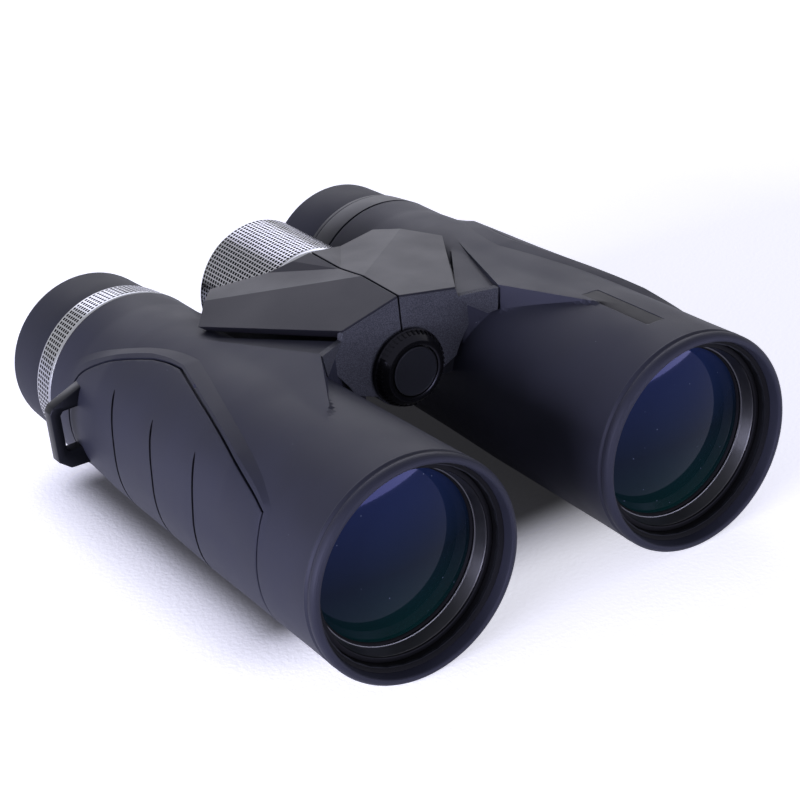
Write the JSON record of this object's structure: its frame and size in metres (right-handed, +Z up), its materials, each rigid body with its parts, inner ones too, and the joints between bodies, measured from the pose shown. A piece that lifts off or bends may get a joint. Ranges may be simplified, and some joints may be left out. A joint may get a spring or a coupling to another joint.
{
  "type": "roof prism binoculars",
  "caption": "Centre-focus roof-prism binoculars: two rubber-armoured barrels on a folding hinge, twist-up eyecups, diopter ring and tripod socket cap.",
  "frame": {"origin": "centre of the footprint on the table, midway between the barrels under the hinge, at half the length", "axes": "+Y along the optical axes from the objectives towards the eyepieces, +Z up, +X towards the user's left barrel"},
  "size_m": [0.1372, 0.151, 0.059],
  "materials": {
    "armour_rubber": "moulded soft-touch rubber, fine matt grain",
    "bridge_plastic": "moulded plastic, fine spark-eroded texture",
    "housing_plastic": "glass-filled polycarbonate, matt",
    "eyecup_rubber": "smooth moulded rubber, matt",
    "black_metal": "aluminium, matt black anodised",
    "silver_metal": "bright knurled aluminium",
    "steel": "turned, satin",
    "brass": "turned brass",
    "coated_glass": "polished optical glass, violet-blue anti-reflection coating",
    "prism_glass": "polished optical glass",
    "cap_plastic": "moulded, semi-gloss black",
    "seal_rubber": "flat rubber gasket"
  },
  "bodies": {
    "left_barrel": {"left_armour": "armour_rubber", "left_grip_pad": "armour_rubber", "left_bridge_cover": "bridge_plastic", "left_front_plate": "bridge_plastic", "left_strap_lug": "bridge_plastic", "left_housing": "housing_plastic", "left_prism_cage": "housing_plastic", "left_objective_cell": "black_metal", "left_eyepiece_tube": "black_metal", "left_eye_lens_ring": "black_metal", "left_objective_ring": "steel", "left_objective_crown": "coated_glass", "left_objective_flint": "coated_glass", "left_eye_lens": "coated_glass", "left_half_prism": "prism_glass", "left_roof_prism": "prism_glass", "left_objective_seal": "seal_rubber", "left_field_cell": "black_metal", "left_field_lens": "prism_glass", "left_badge": "cap_plastic", "left_eyepiece_band": "eyecup_rubber", "hinge_shaft": "steel", "tripod_socket": "brass", "shaft_nut": "steel"},
    "right_barrel": {"right_armour": "armour_rubber", "right_grip_pad": "armour_rubber", "right_bridge_cover": "bridge_plastic", "right_front_plate": "bridge_plastic", "right_strap_lug": "bridge_plastic", "right_housing": "housing_plastic", "right_prism_cage": "housing_plastic", "right_objective_cell": "black_metal", "right_eyepiece_tube": "black_metal", "right_eye_lens_ring": "black_metal", "right_objective_ring": "steel", "right_objective_crown": "coated_glass", "right_objective_flint": "coated_glass", "right_eye_lens": "coated_glass", "right_half_prism": "prism_glass", "right_roof_prism": "prism_glass", "right_objective_seal": "seal_rubber"},
    "focus_wheel": {"focus_wheel": "silver_metal", "focus_wheel_cap": "black_metal", "focus_screw": "brass"},
    "focus_carriage": {"focus_carriage": "brass"},
    "left_focus": {"left_focus_cell": "black_metal", "left_focus_lens": "prism_glass"},
    "right_focus": {"right_focus_cell": "black_metal", "right_focus_lens": "prism_glass"},
    "diopter_ring": {"right_diopter_ring": "silver_metal"},
    "diopter_lens": {"right_field_cell": "black_metal", "right_field_lens": "prism_glass"},
    "left_eyecup_slide": {"left_eyecup_sleeve": "housing_plastic"},
    "left_eyecup_turn": {"left_eyecup": "eyecup_rubber"},
    "right_eyecup_slide": {"right_eyecup_sleeve": "housing_plastic"},
    "right_eyecup_turn": {"right_eyecup": "eyecup_rubber"},
    "tripod_cap_slide": {"tripod_cap_stud": "steel"},
    "tripod_cap_turn": {"tripod_cap": "cap_plastic", "tripod_cap_disc": "cap_plastic"}
  },
  "joints": [
    {"name": "fold", "type": "hinge", "parent": "left_barrel", "child": "right_barrel", "pos_m": [0, 0, 0.0403], "axis": [0, -1, 0], "range_deg": [0, 50]},
    {"name": "focus_turn", "type": "hinge", "parent": "left_barrel", "child": "focus_wheel", "pos_m": [0, 0.036, 0.0403], "axis": [0, 1, 0], "range_deg": [-240, 240]},
    {"name": "focus_carriage_travel", "type": "slide", "parent": "left_barrel", "child": "focus_carriage", "axis": [0, 1, 0], "range_m": [-0.0024, 0.0024]},
    {"name": "left_focus_travel", "type": "slide", "parent": "left_barrel", "child": "left_focus", "axis": [0, 1, 0], "range_m": [-0.0024, 0.0024]},
    {"name": "right_focus_travel", "type": "slide", "parent": "right_barrel", "child": "right_focus", "axis": [0, 1, 0], "range_m": [-0.0024, 0.0024]},
    {"name": "diopter_turn", "type": "hinge", "parent": "right_barrel", "child": "diopter_ring", "pos_m": [-0.0388, 0.0549, 0.0265], "axis": [0, 1, 0], "range_deg": [-40, 40]},
    {"name": "diopter_travel", "type": "slide", "parent": "right_barrel", "child": "diopter_lens", "axis": [0, 1, 0], "range_m": [-0.0008, 0.0008]},
    {"name": "left_eyecup_lift", "type": "slide", "parent": "left_barrel", "child": "left_eyecup_slide", "axis": [0, 1, 0], "range_m": [0, 0.008]},
    {"name": "left_eyecup_twist", "type": "hinge", "parent": "left_eyecup_slide", "child": "left_eyecup_turn", "pos_m": [0.0388, 0.0675, 0.0265], "axis": [0, 1, 0], "range_deg": [0, 120]},
    {"name": "right_eyecup_lift", "type": "slide", "parent": "right_barrel", "child": "right_eyecup_slide", "axis": [0, 1, 0], "range_m": [0, 0.008]},
    {"name": "right_eyecup_twist", "type": "hinge", "parent": "right_eyecup_slide", "child": "right_eyecup_turn", "pos_m": [-0.0388, 0.0675, 0.0265], "axis": [0, 1, 0], "range_deg": [0, 120]},
    {"name": "tripod_cap_out", "type": "slide", "parent": "left_barrel", "child": "tripod_cap_slide", "axis": [0, -1, 0], "range_m": [0, 0.0038]},
    {"name": "tripod_cap_unscrew", "type": "hinge", "parent": "tripod_cap_slide", "child": "tripod_cap_turn", "pos_m": [0, -0.019, 0.0403], "axis": [0, -1, 0], "range_deg": [0, 1080]}
  ],
  "couplings": [
    {"joint": "focus_carriage_travel", "follows": "focus_turn", "m_per_rad": 0.000572},
    {"joint": "left_focus_travel", "follows": "focus_turn", "m_per_rad": 0.000572},
    {"joint": "right_focus_travel", "follows": "focus_turn", "m_per_rad": 0.000572},
    {"joint": "diopter_travel", "follows": "diopter_turn", "m_per_rad": 0.001145},
    {"joint": "left_eyecup_lift", "follows": "left_eyecup_twist", "m_per_rad": 0.003819},
    {"joint": "right_eyecup_lift", "follows": "right_eyecup_twist", "m_per_rad": 0.003819},
    {"joint": "tripod_cap_unscrew", "follows": "tripod_cap_out", "rad_per_m": 4950}
  ]
}
